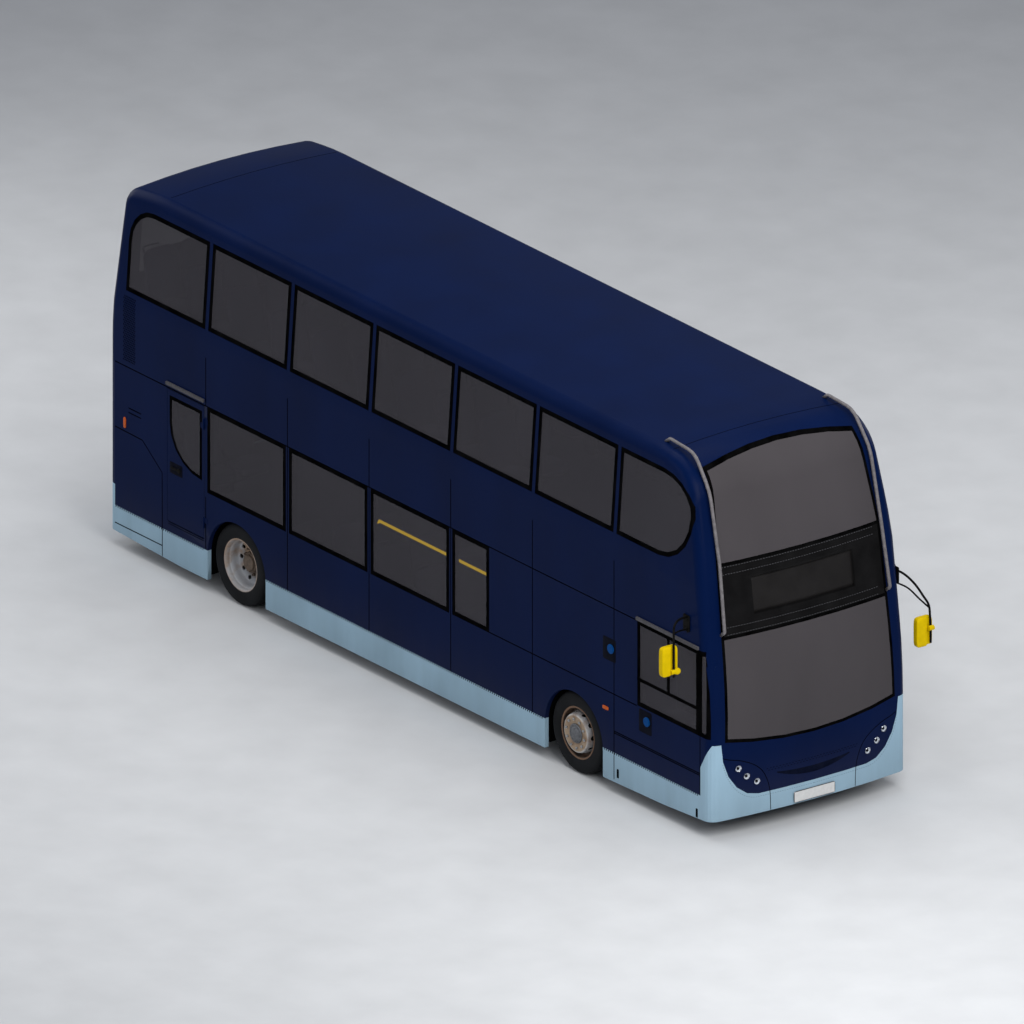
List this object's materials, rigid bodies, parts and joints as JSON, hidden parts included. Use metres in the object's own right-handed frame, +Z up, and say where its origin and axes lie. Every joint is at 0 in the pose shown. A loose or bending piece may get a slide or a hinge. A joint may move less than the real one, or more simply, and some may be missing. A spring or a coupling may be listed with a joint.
{
  "type": "double-decker bus",
  "caption": "Right-hand drive double-decker bus with rounded glazed front, folding entrance doors, emergency door, turning wheels and steered front axle.",
  "frame": {"origin": "on the ground at the middle of the bounding box", "axes": "+X forwards along the bus, +Y to its nearside (left), +Z up"},
  "size_m": [10.6235, 3.35, 4.1535],
  "materials": {
    "black_metal": "satin",
    "black_panel": "satin",
    "blue_cap": "gloss",
    "body_paint": "gloss",
    "door_metal": "satin",
    "floor_ply": "matte",
    "glass": "gloss",
    "grey_metal": "satin",
    "interior_plastic": "satin",
    "lamp_clear": "gloss",
    "lamp_orange": "gloss",
    "lamp_red": "gloss",
    "plate": "satin",
    "rim_steel": "satin",
    "rubber_black": "satin",
    "seat_fabric": "matte",
    "skirt_paint": "gloss",
    "steel_chassis": "satin",
    "tyre_rubber": "matte",
    "yellow_plastic": "gloss"
  },
  "bodies": {
    "bus_body": {"axles": "steel_chassis", "cab_partition": "interior_plastic", "chassis_frame": "steel_chassis", "dashboard": "interior_plastic", "destination_box": "black_panel", "drip_rails": "grey_metal", "engine_block": "steel_chassis", "filler_caps": "blue_cap", "front_bumper": "skirt_paint", "front_dome": "body_paint", "front_panel": "body_paint", "guard_tubes": "grey_metal", "handrails": "yellow_plastic", "headlamps": "lamp_clear", "lower_floor": "floor_ply", "marker_lamps": "lamp_orange", "mirror_arms": "black_metal", "mirror_heads": "yellow_plastic", "number_plates": "plate", "rear_bumper": "skirt_paint", "rear_dome": "body_paint", "rear_panel": "body_paint", "rear_window_frame": "rubber_black", "roof": "body_paint", "seats_lower": "seat_fabric", "seats_upper": "seat_fabric", "side_wall_left": "body_paint", "side_wall_right": "body_paint", "skirts": "skirt_paint", "staircase": "floor_ply", "steering_wheel": "interior_plastic", "tail_lamps": "lamp_red", "upper_floor": "floor_ply", "wheel_boxes": "steel_chassis", "window_frames": "rubber_black", "window_panes": "glass", "windscreen_frame": "rubber_black", "windscreens": "glass"},
    "steering_left": {"steering_knuckle_left": "steel_chassis"},
    "steering_right": {"steering_knuckle_right": "steel_chassis"},
    "front_wheel_left": {"front_tyre_left": "tyre_rubber", "front_rim_left": "rim_steel"},
    "front_wheel_right": {"front_tyre_right": "tyre_rubber", "front_rim_right": "rim_steel"},
    "rear_wheels_left": {"rear_tyres_left": "tyre_rubber", "rear_rims_left": "rim_steel"},
    "rear_wheels_right": {"rear_tyres_right": "tyre_rubber", "rear_rims_right": "rim_steel"},
    "emergency_exit": {"emergency_door": "body_paint", "emergency_door_frame": "rubber_black", "emergency_door_pane": "glass"},
    "engine_cover": {"engine_lid": "body_paint"},
    "door_linkage_rear": {"door_arms_rear": "black_metal"},
    "door_linkage_front": {"door_arms_front": "black_metal"},
    "entrance_leaf_rear": {"door_leaf_rear": "door_metal", "door_glass_rear": "glass"},
    "entrance_leaf_front": {"door_leaf_front": "door_metal", "door_glass_front": "glass"}
  },
  "joints": [
    {"name": "steer_left", "type": "hinge", "parent": "bus_body", "child": "steering_left", "pos_m": [2.8225, 0.945, 0.45], "axis": [0, 0, 1], "range_deg": [-40, 40]},
    {"name": "steer_right", "type": "hinge", "parent": "bus_body", "child": "steering_right", "pos_m": [2.8225, -0.945, 0.45], "axis": [0, 0, 1], "range_deg": [-40, 40]},
    {"name": "roll_front_left", "type": "hinge", "parent": "steering_left", "child": "front_wheel_left", "pos_m": [2.8225, 1.095, 0.45], "axis": [0, 1, 0], "continuous": true},
    {"name": "roll_front_right", "type": "hinge", "parent": "steering_right", "child": "front_wheel_right", "pos_m": [2.8225, -1.095, 0.45], "axis": [0, 1, 0], "continuous": true},
    {"name": "roll_rear_left", "type": "hinge", "parent": "bus_body", "child": "rear_wheels_left", "pos_m": [-3.0475, 1.095, 0.45], "axis": [0, 1, 0], "continuous": true},
    {"name": "roll_rear_right", "type": "hinge", "parent": "bus_body", "child": "rear_wheels_right", "pos_m": [-3.0475, -1.095, 0.45], "axis": [0, 1, 0], "continuous": true},
    {"name": "emergency_door_swing", "type": "hinge", "parent": "bus_body", "child": "emergency_exit", "pos_m": [-3.6105, -1.2845, 1.3], "axis": [0, 0, 1], "range_deg": [0, 100]},
    {"name": "engine_lid_lift", "type": "hinge", "parent": "bus_body", "child": "engine_cover", "pos_m": [-5.307, 0, 1.347], "axis": [0, 1, 0], "range_deg": [0, 75]},
    {"name": "door_shaft_rear", "type": "hinge", "parent": "bus_body", "child": "door_linkage_rear", "pos_m": [3.6685, 1.145, 1.2], "axis": [0, 0, -1], "range_deg": [0, 88]},
    {"name": "door_leaf_rear_turn", "type": "hinge", "parent": "door_linkage_rear", "child": "entrance_leaf_rear", "pos_m": [3.9105, 1.225, 1.2], "axis": [0, 0, -1], "range_deg": [-176, 0]},
    {"name": "door_shaft_front", "type": "hinge", "parent": "bus_body", "child": "door_linkage_front", "pos_m": [4.8165, 1.145, 1.2], "axis": [0, 0, 1], "range_deg": [0, 88]},
    {"name": "door_leaf_front_turn", "type": "hinge", "parent": "door_linkage_front", "child": "entrance_leaf_front", "pos_m": [4.5745, 1.225, 1.2], "axis": [0, 0, 1], "range_deg": [-176, 0]}
  ],
  "couplings": [
    {"joint": "steer_right", "follows": "steer_left", "ratio": 1},
    {"joint": "door_leaf_rear_turn", "follows": "door_shaft_rear", "ratio": -2},
    {"joint": "door_leaf_front_turn", "follows": "door_shaft_front", "ratio": -2}
  ]
}
